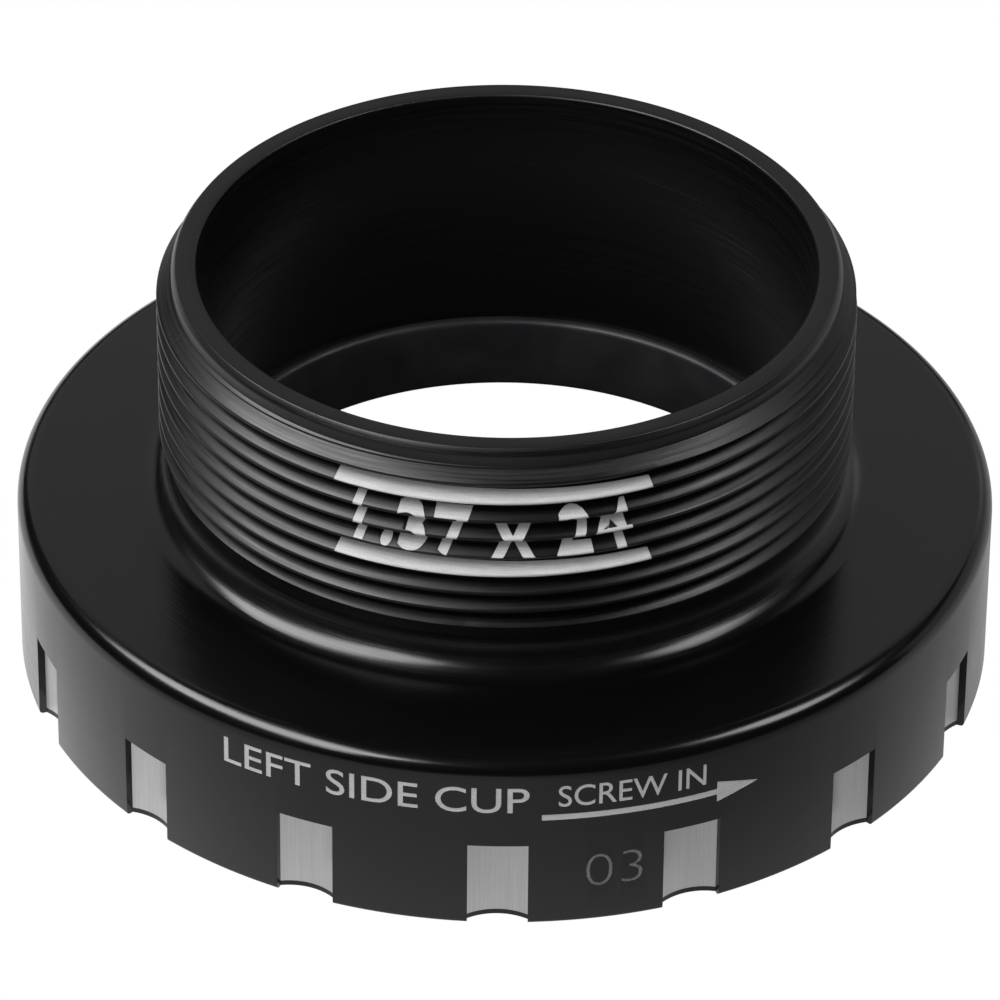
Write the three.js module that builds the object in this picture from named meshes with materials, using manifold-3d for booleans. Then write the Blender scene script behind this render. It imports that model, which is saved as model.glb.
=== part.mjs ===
// A threaded bottom bracket cup for the left side of a bicycle frame, with the thin ball bearing that it holds.
// Units are millimetres. The axis of the crank spindle is Z, the outboard face lies on z = 0,
// and +Z points inboard, along the sleeve that screws into the frame.
import * as THREE from "three";
import { mergeVertices } from "three/addons/utils/BufferGeometryUtils.js";
import Module from "manifold-3d";

const wasm = await Module();
wasm.setup();

// ---- Driving dimensions ----
const TOTAL_HEIGHT = 22.4;
const ROUND_STEPS = 48; // straight sides that stand for one full circle

// Flange that the spanner grips
const FLANGE_RADIUS = 24.6;
const FLANGE_HEIGHT = 9.6;
const FLANGE_EDGE_RADIUS = 1.0;
const OUTBOARD_CHAMFER = 0.25;

// Spanner notches, cut with a side and face cutter that leaves a hollow back wall
const NOTCH_COUNT = 16;
const NOTCH_WIDTH = 2.95;
const NOTCH_HEIGHT = 4.75;
const NOTCH_SIDE_DEPTH = 0.38;
const NOTCH_BACK_SAG = 0.42;

// Sleeve, with a 1.37 inch by 24 per inch right-hand thread
const THREAD_RADIUS = 17.4;
const THREAD_PITCH = 25.4 / 24;
const THREAD_FLANK_ANGLE = Math.PI / 6;
const THREAD_FLAT = THREAD_PITCH / 8; // at the crest and at the root
const THREAD_BOTTOM = 11.9; // where the bevels at the thread's two ends would meet the metal below its root
const THREAD_TOP = 21.8;
const THREAD_END_SLOPE = 0.65;
const LEAD_IN_HEIGHT = 21.15; // where the plain band above the thread starts
const CREST_HEIGHT_AT_FRONT = 12.43; // lowest full crest, on the -Y side
const NECK_FILLET = 1.8;
const LEAD_IN_RADIUS = 16.65;
const RIM_RADIUS = 16.3;
const RIM_CHAMFER_HEIGHT = 0.35;

// Bore, from the sleeve's end to the outboard face
const SLEEVE_BORE_RADIUS = 15.4;
const BORE_EDGE_CHAMFER = 0.15;
const SHOULDER_HEIGHT = 8.8;
const COUNTERBORE_RADIUS = 21;
const COUNTERBORE_DEPTH = 4.7;
const COUNTERBORE_MOUTH_WIDTH = 1.3; // bevel that leads the dust seal in
const COUNTERBORE_MOUTH_HEIGHT = 0.9;

// Bearing, 30 mm bore, 37 mm outside and 4 mm wide
const BEARING_BORE_RADIUS = 15;
const BEARING_OUTER_RADIUS = 18.5;
const BEARING_WIDTH = 4;
const BEARING_CHAMFER = 0.3;
const SEAT_GAP = 0.05; // between the bearing and its seat in the cup
const BALL_COUNT = 26;
const BALL_RADIUS = 1;
const INNER_LAND_RADIUS = 16.15;
const OUTER_LAND_RADIUS = 17.35;
const INNER_RACE_GAP = 0.04;
const OUTER_RACE_GAP = 0.08;
const RACE_STEPS = 5;
const CAGE_WALL = 0.8;
const CAGE_BACK = 0.28; // web behind the ball pockets
const CAGE_HORN = 0.35; // how far the pocket walls pass the balls' centres
const POCKET_GAP = 0.06;
const POCKET_SIDES = 10;
const SEAL_THICKNESS = 0.4;
const SEAL_SETBACK = 0.15;
const SEAL_INNER_GAP = 0.07;
const SEAL_OUTER_GAP = 0.05;

// Rubber dust seal in the counterbore, outboard of the bearing
const DUST_SEAL_LIP_RADIUS = 18.4;
const DUST_SEAL_RIM_WIDTH = 0.75;
const DUST_SEAL_LIP_THICKNESS = 0.9;
const DUST_SEAL_HEIGHT = 2.3;
const DUST_SEAL_GAP = 0.06;

// ---- Worked-out dimensions ----
const BEARING_TOP = SHOULDER_HEIGHT - SEAT_GAP;
const BEARING_CENTRE = BEARING_TOP - BEARING_WIDTH / 2;
const PITCH_RADIUS = (BEARING_BORE_RADIUS + BEARING_OUTER_RADIUS) / 2;
const THREAD_ROOT_HALF_WIDTH = (THREAD_PITCH - THREAD_FLAT) / 2;
const THREAD_DEPTH =
  (THREAD_ROOT_HALF_WIDTH - THREAD_FLAT / 2) / Math.tan(THREAD_FLANK_ANGLE);
const ROOT_RADIUS = THREAD_RADIUS - THREAD_DEPTH;

// ---- Finishes ----
const blackAnodised = new THREE.MeshStandardMaterial({
  color: 0x0c0c0d,
  roughness: 0.3,
  metalness: 0.6,
});
const blackSteel = new THREE.MeshStandardMaterial({
  color: 0x1c1d1f,
  roughness: 0.25,
  metalness: 0.9,
});
const ballSteel = new THREE.MeshStandardMaterial({
  color: 0xc8cacc,
  roughness: 0.08,
  metalness: 1,
});
const cageNylon = new THREE.MeshStandardMaterial({
  color: 0x3a352c,
  roughness: 0.55,
  metalness: 0,
});
const sealRubber = new THREE.MeshStandardMaterial({
  color: 0x0e0e0f,
  roughness: 0.65,
  metalness: 0,
});

// ---- Helpers ----
const at = (radius, height) => new THREE.Vector2(radius, height);

// Points on an arc in the radius-height plane, with both ends; angles are in radians.
function arc(centre, radius, from, to, steps) {
  return Array.from({ length: steps + 1 }, (_, i) => {
    const angle = from + ((to - from) * i) / steps;
    return at(
      centre.x + radius * Math.cos(angle),
      centre.y + radius * Math.sin(angle),
    );
  });
}

// A ring turned around Z from a closed outline. The outline's points run clockwise, seen with radius to
// the right and height up, and are taken backwards so that the faces point outwards.
function turned(outline) {
  const closed = [outline[0], ...outline.toReversed()];
  return new THREE.LatheGeometry(closed, ROUND_STEPS).rotateX(Math.PI / 2);
}

function toSolid(geometry) {
  const bare = geometry.clone();
  bare.deleteAttribute("normal");
  bare.deleteAttribute("uv");
  const merged = mergeVertices(bare, 1e-4);
  return new wasm.Manifold(
    new wasm.Mesh({
      numProp: 3,
      vertProperties: merged.attributes.position.array,
      triVerts: new Uint32Array(merged.index.array),
    }),
  );
}

function toGeometry(solid) {
  const mesh = solid.getMesh();
  const geometry = new THREE.BufferGeometry();
  geometry.setAttribute(
    "position",
    new THREE.BufferAttribute(mesh.vertProperties, 3),
  );
  geometry.setIndex(new THREE.BufferAttribute(mesh.triVerts, 1));
  geometry.computeVertexNormals();
  return geometry;
}

// ---- Cup ----
function cupBlank() {
  const flangeEdge = at(
    FLANGE_RADIUS - FLANGE_EDGE_RADIUS,
    FLANGE_HEIGHT - FLANGE_EDGE_RADIUS,
  );
  const neckCentre = at(ROOT_RADIUS + NECK_FILLET, FLANGE_HEIGHT + NECK_FILLET);
  const seatRadius = BEARING_OUTER_RADIUS;
  return turned([
    at(SLEEVE_BORE_RADIUS, SHOULDER_HEIGHT),
    at(SLEEVE_BORE_RADIUS, TOTAL_HEIGHT - BORE_EDGE_CHAMFER),
    at(SLEEVE_BORE_RADIUS + BORE_EDGE_CHAMFER, TOTAL_HEIGHT),
    at(RIM_RADIUS, TOTAL_HEIGHT),
    at(LEAD_IN_RADIUS, TOTAL_HEIGHT - RIM_CHAMFER_HEIGHT),
    at(LEAD_IN_RADIUS, LEAD_IN_HEIGHT),
    at(ROOT_RADIUS, LEAD_IN_HEIGHT),
    ...arc(neckCentre, NECK_FILLET, Math.PI, Math.PI * 1.5, 4),
    ...arc(flangeEdge, FLANGE_EDGE_RADIUS, Math.PI / 2, 0, 4),
    at(FLANGE_RADIUS, OUTBOARD_CHAMFER),
    at(FLANGE_RADIUS - OUTBOARD_CHAMFER, 0),
    at(COUNTERBORE_RADIUS + COUNTERBORE_MOUTH_WIDTH, 0),
    at(COUNTERBORE_RADIUS, COUNTERBORE_MOUTH_HEIGHT),
    at(COUNTERBORE_RADIUS, COUNTERBORE_DEPTH),
    at(seatRadius, COUNTERBORE_DEPTH),
    at(seatRadius, SHOULDER_HEIGHT),
  ]);
}

// The space that the thread's crests may fill: a band with a bevel at each end.
function threadBand() {
  const inside = ROOT_RADIUS - 0.3;
  const outside = THREAD_RADIUS + 0.4;
  const bevel = (outside - inside) * THREAD_END_SLOPE;
  return turned([
    at(inside, THREAD_BOTTOM),
    at(inside, THREAD_TOP),
    at(outside, THREAD_TOP - bevel),
    at(outside, THREAD_BOTTOM + bevel),
  ]);
}

// One long ridge of thread: its section is extruded in straight steps, which are then wound onto the helix.
// The section's Y runs down the axis, because winding it the other way would turn the faces inwards.
function threadRidge() {
  const buried = 0.1;
  const buriedHalfWidth =
    THREAD_ROOT_HALF_WIDTH + buried * Math.tan(THREAD_FLANK_ANGLE);
  const section = new THREE.Shape([
    at(-buried, -buriedHalfWidth),
    at(THREAD_DEPTH, -THREAD_FLAT / 2),
    at(THREAD_DEPTH, THREAD_FLAT / 2),
    at(-buried, buriedHalfWidth),
  ]);
  const turns = 11;
  const steps = turns * ROUND_STEPS;
  const ridge = new THREE.ExtrudeGeometry(section, {
    depth: steps,
    steps,
    bevelEnabled: false,
  });
  const lowest = CREST_HEIGHT_AT_FRONT - THREAD_PITCH;
  const points = ridge.attributes.position;
  for (let i = 0; i < points.count; i += 1) {
    const turn = points.getZ(i) / ROUND_STEPS;
    const angle = 2 * Math.PI * turn - Math.PI / 2;
    const radius = ROOT_RADIUS + points.getX(i);
    const height = lowest + THREAD_PITCH * turn - points.getY(i);
    points.setXYZ(i, radius * Math.cos(angle), radius * Math.sin(angle), height);
  }
  return ridge;
}

function notchCutter(index) {
  const half = NOTCH_WIDTH / 2;
  const wallRadius = Math.sqrt(FLANGE_RADIUS ** 2 - half ** 2) - NOTCH_SIDE_DEPTH;
  const backRadius = (half ** 2 + NOTCH_BACK_SAG ** 2) / (2 * NOTCH_BACK_SAG);
  const halfAngle = Math.asin(half / backRadius);
  const backCentre = wallRadius - NOTCH_BACK_SAG + backRadius;
  const plan = new THREE.Shape();
  plan.moveTo(FLANGE_RADIUS + 1, -half);
  plan.lineTo(FLANGE_RADIUS + 1, half);
  plan.lineTo(wallRadius, half);
  for (let i = 1; i < 6; i += 1) {
    const angle = Math.PI - halfAngle + (2 * halfAngle * i) / 6;
    plan.lineTo(
      backCentre + backRadius * Math.cos(angle),
      backRadius * Math.sin(angle),
    );
  }
  plan.lineTo(wallRadius, -half);
  plan.closePath();
  const cutter = new THREE.ExtrudeGeometry(plan, {
    depth: NOTCH_HEIGHT + 1,
    bevelEnabled: false,
  });
  const angle = (2 * Math.PI * index) / NOTCH_COUNT - Math.PI / 2;
  return cutter.translate(0, 0, -1).rotateZ(angle);
}

function cupBody() {
  const thread = toSolid(threadRidge()).intersect(toSolid(threadBand()));
  let cup = toSolid(cupBlank()).add(thread);
  for (let index = 0; index < NOTCH_COUNT; index += 1) {
    cup = cup.subtract(toSolid(notchCutter(index)));
  }
  return toGeometry(cup);
}

// ---- Bearing ----
const ballCentre = at(PITCH_RADIUS, BEARING_CENTRE);
const faceLow = BEARING_CENTRE - BEARING_WIDTH / 2;
const faceHigh = BEARING_CENTRE + BEARING_WIDTH / 2;

function innerRing() {
  const race = BALL_RADIUS + INNER_RACE_GAP;
  const half = Math.acos((PITCH_RADIUS - INNER_LAND_RADIUS) / race);
  return turned([
    at(BEARING_BORE_RADIUS, faceLow + BEARING_CHAMFER),
    at(BEARING_BORE_RADIUS, faceHigh - BEARING_CHAMFER),
    at(BEARING_BORE_RADIUS + BEARING_CHAMFER, faceHigh),
    at(INNER_LAND_RADIUS, faceHigh),
    ...arc(ballCentre, race, Math.PI - half, Math.PI + half, RACE_STEPS),
    at(INNER_LAND_RADIUS, faceLow),
    at(BEARING_BORE_RADIUS + BEARING_CHAMFER, faceLow),
  ]);
}

function outerRing() {
  const race = BALL_RADIUS + OUTER_RACE_GAP;
  const half = Math.acos((OUTER_LAND_RADIUS - PITCH_RADIUS) / race);
  const outside = BEARING_OUTER_RADIUS - SEAT_GAP;
  return turned([
    at(OUTER_LAND_RADIUS, faceLow),
    ...arc(ballCentre, race, -half, half, RACE_STEPS),
    at(OUTER_LAND_RADIUS, faceHigh),
    at(outside - BEARING_CHAMFER, faceHigh),
    at(outside, faceHigh - BEARING_CHAMFER),
    at(outside, faceLow + BEARING_CHAMFER),
    at(outside - BEARING_CHAMFER, faceLow),
  ]);
}

function ball(index) {
  const sphere = new THREE.IcosahedronGeometry(BALL_RADIUS, 1);
  sphere.translate(PITCH_RADIUS, 0, BEARING_CENTRE);
  return sphere.rotateZ((2 * Math.PI * index) / BALL_COUNT);
}

// A crown cage: a thin ring behind the balls, with a wall between each ball and the next.
// Its pockets are drilled from the outside.
function crownCage() {
  const pocket = BALL_RADIUS + POCKET_GAP;
  const back = BEARING_CENTRE - pocket - CAGE_BACK;
  let cage = toSolid(
    turned([
      at(PITCH_RADIUS - CAGE_WALL / 2, back),
      at(PITCH_RADIUS - CAGE_WALL / 2, BEARING_CENTRE + CAGE_HORN),
      at(PITCH_RADIUS + CAGE_WALL / 2, BEARING_CENTRE + CAGE_HORN),
      at(PITCH_RADIUS + CAGE_WALL / 2, back),
    ]),
  );
  for (let index = 0; index < BALL_COUNT; index += 1) {
    const cutter = new THREE.CylinderGeometry(
      pocket / Math.cos(Math.PI / POCKET_SIDES),
      pocket / Math.cos(Math.PI / POCKET_SIDES),
      CAGE_WALL + 1,
      POCKET_SIDES,
    );
    cutter.rotateZ(Math.PI / 2).translate(PITCH_RADIUS, 0, BEARING_CENTRE);
    cutter.rotateZ((2 * Math.PI * index) / BALL_COUNT);
    cage = cage.subtract(toSolid(cutter));
  }
  return toGeometry(cage);
}

// A flat rubber seal between the two rings, fixed in the outer one.
function bearingSeal(outerFace, inward) {
  const near = outerFace + inward * SEAL_SETBACK;
  const far = near + inward * SEAL_THICKNESS;
  const low = Math.min(near, far);
  const high = Math.max(near, far);
  const inside = INNER_LAND_RADIUS + SEAL_INNER_GAP;
  const outside = OUTER_LAND_RADIUS - SEAL_OUTER_GAP;
  return turned([
    at(inside, low),
    at(inside, high),
    at(outside, high),
    at(outside, low),
  ]);
}

// A rubber ring with a stiff rim, pressed into the counterbore, and a lip over the bearing's outer ring.
function dustSeal() {
  const rim = COUNTERBORE_RADIUS - DUST_SEAL_GAP;
  const high = COUNTERBORE_DEPTH - DUST_SEAL_GAP;
  const lipLow = high - DUST_SEAL_LIP_THICKNESS;
  const rimLow = high - DUST_SEAL_HEIGHT;
  return turned([
    at(DUST_SEAL_LIP_RADIUS, lipLow + 0.3),
    at(DUST_SEAL_LIP_RADIUS, high),
    at(rim, high),
    at(rim, rimLow),
    at(rim - DUST_SEAL_RIM_WIDTH, rimLow),
    at(rim - DUST_SEAL_RIM_WIDTH, lipLow),
    at(DUST_SEAL_LIP_RADIUS + 0.3, lipLow),
  ]);
}

// ---- Scene graph ----
function piece(name, geometry, material) {
  const mesh = new THREE.Mesh(geometry, material);
  mesh.name = name;
  return mesh;
}

const bottomBracket = new THREE.Group();
bottomBracket.add(piece("cup_body", cupBody(), blackAnodised));
bottomBracket.add(piece("outer_dust_seal", dustSeal(), sealRubber));

const bearing = new THREE.Group();
bearing.add(piece("bearing_outer_ring", outerRing(), blackSteel));
bearing.add(piece("bearing_inner_ring", innerRing(), blackSteel));
bearing.add(piece("bearing_cage", crownCage(), cageNylon));
bearing.add(piece("inboard_bearing_seal", bearingSeal(faceHigh, -1), sealRubber));
bearing.add(piece("outboard_bearing_seal", bearingSeal(faceLow, 1), sealRubber));
for (let index = 0; index < BALL_COUNT; index += 1) {
  const number = String(index + 1).padStart(2, "0");
  bearing.add(piece(`bearing_ball_${number}`, ball(index), ballSteel));
}
bottomBracket.add(bearing);

export default bottomBracket;
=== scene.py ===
# %% [markdown]
# # A threaded bottom bracket cup
#
# This lesson models one side of a bicycle's bottom bracket: a black cup that screws into the frame and
# holds the bearing for the crank spindle. The CAD frame gives each piece's place and the body it moves
# with. Here each piece is made again with finer surfaces and real finishes, in metres, at the place where
# the CAD model has it.

import math

import bmesh
import bpy
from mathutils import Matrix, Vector


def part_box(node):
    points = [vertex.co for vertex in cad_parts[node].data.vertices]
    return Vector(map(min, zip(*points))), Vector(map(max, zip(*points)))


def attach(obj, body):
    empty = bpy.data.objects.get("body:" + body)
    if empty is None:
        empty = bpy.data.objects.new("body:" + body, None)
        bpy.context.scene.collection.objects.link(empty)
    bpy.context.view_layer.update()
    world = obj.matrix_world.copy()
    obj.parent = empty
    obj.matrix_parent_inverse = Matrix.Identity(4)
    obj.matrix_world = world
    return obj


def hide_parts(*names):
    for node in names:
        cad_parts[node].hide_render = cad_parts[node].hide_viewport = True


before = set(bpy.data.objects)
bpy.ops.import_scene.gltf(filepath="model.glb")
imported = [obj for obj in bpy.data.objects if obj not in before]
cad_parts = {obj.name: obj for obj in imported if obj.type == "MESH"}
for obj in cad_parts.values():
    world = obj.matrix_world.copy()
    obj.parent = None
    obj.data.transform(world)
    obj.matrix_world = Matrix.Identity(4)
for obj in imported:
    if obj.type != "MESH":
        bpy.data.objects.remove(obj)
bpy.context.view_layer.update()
MM = 0.001

# %% [markdown]
# The sizes that a node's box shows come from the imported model. The thread's sizes are standard values:
# the sleeve carries the 1.37 inch by 24 per inch thread of English frames. The others are the cup's own,
# such as the height of its flange. The bearing and the seal get a little room in the holes that are bored
# for them.

# %% Sizes of the cup
cup_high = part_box("cup_body")[1]
ring_low, ring_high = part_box("bearing_outer_ring")
dust_low, dust_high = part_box("outer_dust_seal")

FLANGE_RADIUS = cup_high.x
TOTAL_HEIGHT = cup_high.z
FLANGE_HEIGHT = 9.6 * MM
FLANGE_EDGE = 1.0 * MM
THREAD_RADIUS = 17.4 * MM
THREAD_PITCH = 25.4 * MM / 24
THREAD_FLANK = math.radians(30)
THREAD_FLAT = THREAD_PITCH / 8
THREAD_DEPTH = (THREAD_PITCH / 2 - THREAD_FLAT) / math.tan(THREAD_FLANK)
ROOT_RADIUS = THREAD_RADIUS - THREAD_DEPTH
CREST_AT_FRONT = 12.43 * MM
BORE_RADIUS = 15.4 * MM
BEARING_ROOM = 0.05 * MM
SEAL_ROOM = 0.06 * MM
SHOULDER_HEIGHT = ring_high.z + BEARING_ROOM
SEAT_RADIUS = ring_high.x + BEARING_ROOM
COUNTERBORE_RADIUS = dust_high.x + SEAL_ROOM
COUNTERBORE_DEPTH = 4.7 * MM
ROUND = 288
print(f"thread root radius {ROOT_RADIUS / MM:.2f} mm, depth {THREAD_DEPTH / MM:.2f} mm")

# %% [markdown]
# The camera stands nearly 0.4 m away with a long lens, 35 degrees above the table, as for a shop's
# catalogue. A long lens keeps the circles of the rim and the flange nearly alike. The aim point is beside
# the cup's axis, a little under the flange's top. The camera is turned a trifle towards +X and leans half
# a degree, as a camera on a tripod often does.

# %% Camera
CAMERA_DISTANCE = 0.3865
CAMERA_ELEVATION = math.radians(35.026)
CAMERA_TURN = math.radians(0.44)
CAMERA_ROLL = math.radians(0.534)
AIM_HEIGHT = 7.894 * MM
AIM_LEFT = 0.243 * MM
SENSOR_WIDTH = 36
LENS_LENGTH = 275.03

to_right = Vector((math.cos(CAMERA_TURN), math.sin(CAMERA_TURN), 0))
backwards = Vector(
    (
        math.sin(CAMERA_TURN) * math.cos(CAMERA_ELEVATION),
        -math.cos(CAMERA_TURN) * math.cos(CAMERA_ELEVATION),
        math.sin(CAMERA_ELEVATION),
    )
)
aim = Vector((0, 0, AIM_HEIGHT)) - to_right * AIM_LEFT
bpy.ops.object.camera_add(
    location=aim + backwards * CAMERA_DISTANCE,
    rotation=(math.pi / 2 - CAMERA_ELEVATION, 0, CAMERA_TURN),
)
camera = bpy.context.object
camera.name = "catalogue_camera"
camera.rotation_euler.rotate_axis("Z", CAMERA_ROLL)
camera.data.sensor_width = SENSOR_WIDTH
camera.data.lens = LENS_LENGTH
camera.data.clip_start = 0.01
bpy.context.scene.camera = camera
print("camera at", tuple(round(v, 4) for v in camera.location))

# %% [markdown]
# ## Finishes
#
# Every finish is built from the same few parts: the metal or rubber itself, a fine grain that varies the
# roughness, and marks from the lathe or the mill as bump. All patterns read Object coordinates, which are
# metres in the shared frame, so a pattern keeps its real size. Turning marks are rings, so their noise is
# read at the distance from the axis and at the height, and it changes only slowly round the ring.


# %% Helpers for materials
def node(tree, kind, **settings):
    made = tree.nodes.new(kind)
    for key, value in settings.items():
        setattr(made, key, value)
    return made


def set_inputs(made, **values):
    for key, value in values.items():
        made.inputs[key.replace("_", " ")].default_value = value


def grey(value, warmth=0.0):
    return (value * (1 + warmth), value, value * (1 - warmth), 1)


def new_finish(name, base, roughness, metallic=0.0):
    material = bpy.data.materials.new(name)
    material.use_nodes = True
    tree = material.node_tree
    shader = tree.nodes["Principled BSDF"]
    set_inputs(shader, Base_Color=base, Roughness=roughness, Metallic=metallic)
    return material, tree, shader


def object_place(tree):
    return node(tree, "ShaderNodeTexCoord").outputs["Object"]


def ring_place(tree, ring_size, round_size):
    """Noise read here is in rings about the axis: ring_size apart, and slowly changing round the ring."""
    split = node(tree, "ShaderNodeSeparateXYZ")
    tree.links.new(object_place(tree), split.inputs[0])
    flat = node(tree, "ShaderNodeCombineXYZ")
    tree.links.new(split.outputs["X"], flat.inputs["X"])
    tree.links.new(split.outputs["Y"], flat.inputs["Y"])
    radius = node(tree, "ShaderNodeVectorMath", operation="LENGTH")
    tree.links.new(flat.outputs[0], radius.inputs[0])
    rings = node(tree, "ShaderNodeCombineXYZ")
    for source, socket, size in (
        (radius.outputs["Value"], "X", ring_size),
        (split.outputs["Z"], "Y", ring_size),
        (split.outputs["X"], "Z", round_size),
    ):
        scaled = node(tree, "ShaderNodeMath", operation="DIVIDE")
        tree.links.new(source, scaled.inputs[0])
        scaled.inputs[1].default_value = size
        tree.links.new(scaled.outputs[0], rings.inputs[socket])
    return rings.outputs[0]


def stretched_place(tree, sizes):
    mapping = node(tree, "ShaderNodeMapping", vector_type="POINT")
    tree.links.new(object_place(tree), mapping.inputs["Vector"])
    mapping.inputs["Scale"].default_value = [1 / size for size in sizes]
    return mapping.outputs["Vector"]


def noise(tree, place, scale=1.0, detail=3.0, roughness=0.5):
    made = node(tree, "ShaderNodeTexNoise")
    set_inputs(made, Scale=scale, Detail=detail, Roughness=roughness)
    tree.links.new(place, made.inputs["Vector"])
    return made.outputs["Fac"]


def ramp(tree, value, start, end, low, high, interpolation="LINEAR"):
    """A value of start to end becomes low to high."""
    made = node(tree, "ShaderNodeMapRange", interpolation_type=interpolation)
    set_inputs(made, From_Min=start, From_Max=end, To_Min=low, To_Max=high)
    tree.links.new(value, made.inputs["Value"])
    return made.outputs["Result"]


def spread(tree, value, low, high):
    """Most of a noise's values lie between 0.3 and 0.7, which become low to high."""
    return ramp(tree, value, 0.3, 0.7, low, high)


def blend_colours(tree, value, low, high):
    made = node(tree, "ShaderNodeMix", data_type="RGBA")
    tree.links.new(value, made.inputs["Factor"])
    made.inputs["A"].default_value = low
    made.inputs["B"].default_value = high
    return made.outputs["Result"]


def raise_marks(tree, shader, layers):
    """Each layer is a value, a strength and a depth in metres, and lies on the layer before it."""
    normal = None
    for value, strength, depth in layers:
        bump = node(tree, "ShaderNodeBump")
        set_inputs(bump, Strength=strength, Distance=depth)
        tree.links.new(value, bump.inputs["Height"])
        if normal:
            tree.links.new(normal, bump.inputs["Normal"])
        normal = bump.outputs["Normal"]
    tree.links.new(normal, shader.inputs["Normal"])


# %% [markdown]
# The cup is black anodised aluminium. The dyed oxide layer is glassy, so it is a dark base under a clear
# gloss, not a metal. Fine rings from the lathe show through it, and a few specks of dust lie on it. The
# threading tool leaves the sleeve duller than the flange, so the roughness grows with the height above
# the neck.

# %% Black anodised aluminium
BLACK_DYE = grey(0.0014)
NECK_LOW = 9.7 * MM
NECK_HIGH = 11.5 * MM

black_anodised, tree, shader = new_finish("black_anodising", BLACK_DYE, 0.2)
rings = noise(tree, ring_place(tree, 0.16 * MM, 9 * MM), detail=4, roughness=0.65)
grain = noise(tree, object_place(tree), scale=9000, detail=2)
patches = noise(tree, object_place(tree), scale=260, detail=3)
roughness = node(tree, "ShaderNodeMath", operation="ADD")
tree.links.new(spread(tree, rings, 0.10, 0.17), roughness.inputs[0])
tree.links.new(spread(tree, patches, 0.03, 0.08), roughness.inputs[1])
split = node(tree, "ShaderNodeSeparateXYZ")
tree.links.new(object_place(tree), split.inputs[0])
is_sleeve = ramp(tree, split.outputs["Z"], NECK_LOW, NECK_HIGH, 0.0, 1.0)
duller = node(tree, "ShaderNodeMath", operation="MULTIPLY_ADD")
tree.links.new(is_sleeve, duller.inputs[0])
tree.links.new(spread(tree, rings, 0.1, 0.28), duller.inputs[1])
tree.links.new(roughness.outputs[0], duller.inputs[2])
tree.links.new(duller.outputs[0], shader.inputs["Roughness"])
print(f"the black grows duller from {NECK_LOW / MM:.1f} to {NECK_HIGH / MM:.1f} mm")

# %% [markdown]
# The dust comes from a Voronoi texture, whose cells each have one random colour. A cell holds a speck
# only if the red of its colour is over 0.9, so nine cells out of ten stay clean, and the redder it is,
# the larger the speck, up to a radius of 0.014 cells. Noise could place dust too, but its specks would
# run together.

# %% Dust on the black
DUST_SCALE = 230
LARGEST_SPECK = 0.014

dust = node(tree, "ShaderNodeTexVoronoi", feature="F1")
set_inputs(dust, Scale=DUST_SCALE)
tree.links.new(object_place(tree), dust.inputs["Vector"])
size = node(tree, "ShaderNodeSeparateColor")
tree.links.new(dust.outputs["Color"], size.inputs[0])
speck = ramp(tree, size.outputs["Red"], 0.9, 1.0, 0.0, LARGEST_SPECK)
is_dust = node(tree, "ShaderNodeMath", operation="LESS_THAN")
tree.links.new(dust.outputs["Distance"], is_dust.inputs[0])
tree.links.new(speck, is_dust.inputs[1])
colour = blend_colours(tree, is_dust.outputs[0], BLACK_DYE, grey(0.16))
tree.links.new(colour, shader.inputs["Base Color"])
raise_marks(
    tree, shader, [(rings, 0.6, 0.009 * MM), (grain, 0.14, 0.003 * MM)]
)
print("finish:", black_anodised.name)

# %% [markdown]
# The notches are milled after the black finish, so their back walls are bare. The cutter leaves fine
# streaks up and down the wall. The laser that writes the markings burns the black away in fine lines and
# leaves a dull, light grey. A needle scribes the small code, so its strokes are thinner and darker.

# %% Milled aluminium and laser marking
milled, tree, shader = new_finish("milled_aluminium", grey(0.6), 0.36, 1.0)
streaks = noise(
    tree, stretched_place(tree, (0.09 * MM, 0.09 * MM, 6 * MM)), detail=5, roughness=0.7
)
grain = noise(tree, object_place(tree), scale=7000, detail=2)
colour = blend_colours(
    tree, spread(tree, streaks, 0.0, 1.0), grey(0.5, 0.004), grey(0.66, 0.004)
)
tree.links.new(colour, shader.inputs["Base Color"])
tree.links.new(spread(tree, streaks, 0.3, 0.46), shader.inputs["Roughness"])
raise_marks(
    tree, shader, [(streaks, 0.3, 0.006 * MM), (grain, 0.15, 0.002 * MM)]
)

marked, tree, shader = new_finish("laser_marking", grey(0.42), 0.55)
lines = noise(
    tree, stretched_place(tree, (1.5 * MM, 1.5 * MM, 0.05 * MM)), detail=2, roughness=0.6
)
grain = noise(tree, object_place(tree), scale=12000, detail=3)
mixed = node(tree, "ShaderNodeMath", operation="MULTIPLY")
tree.links.new(spread(tree, lines, 0.6, 1.0), mixed.inputs[0])
tree.links.new(spread(tree, grain, 0.7, 1.0), mixed.inputs[1])
colour = blend_colours(tree, mixed.outputs[0], grey(0.2), grey(0.48))
tree.links.new(colour, shader.inputs["Base Color"])
tree.links.new(spread(tree, grain, 0.45, 0.65), shader.inputs["Roughness"])
raise_marks(tree, shader, [(lines, 0.3, 0.003 * MM), (grain, 0.2, 0.002 * MM)])

scribed, tree, shader = new_finish("scribed_code", grey(0.12), 0.5)
scratches = noise(tree, object_place(tree), scale=9000, detail=3)
colour = blend_colours(tree, spread(tree, scratches, 0.0, 1.0), grey(0.07), grey(0.17))
tree.links.new(colour, shader.inputs["Base Color"])
raise_marks(tree, shader, [(scratches, 0.3, 0.003 * MM)])
print("finishes:", milled.name, marked.name, scribed.name)

# %% [markdown]
# The bearing's rings are ground steel with a black oxide film against rust, which keeps some of the
# metal's sheen. The balls are polished bearing steel. The cage is moulded nylon, and both kinds of seal
# are black rubber with the fine texture of their mould.

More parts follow.
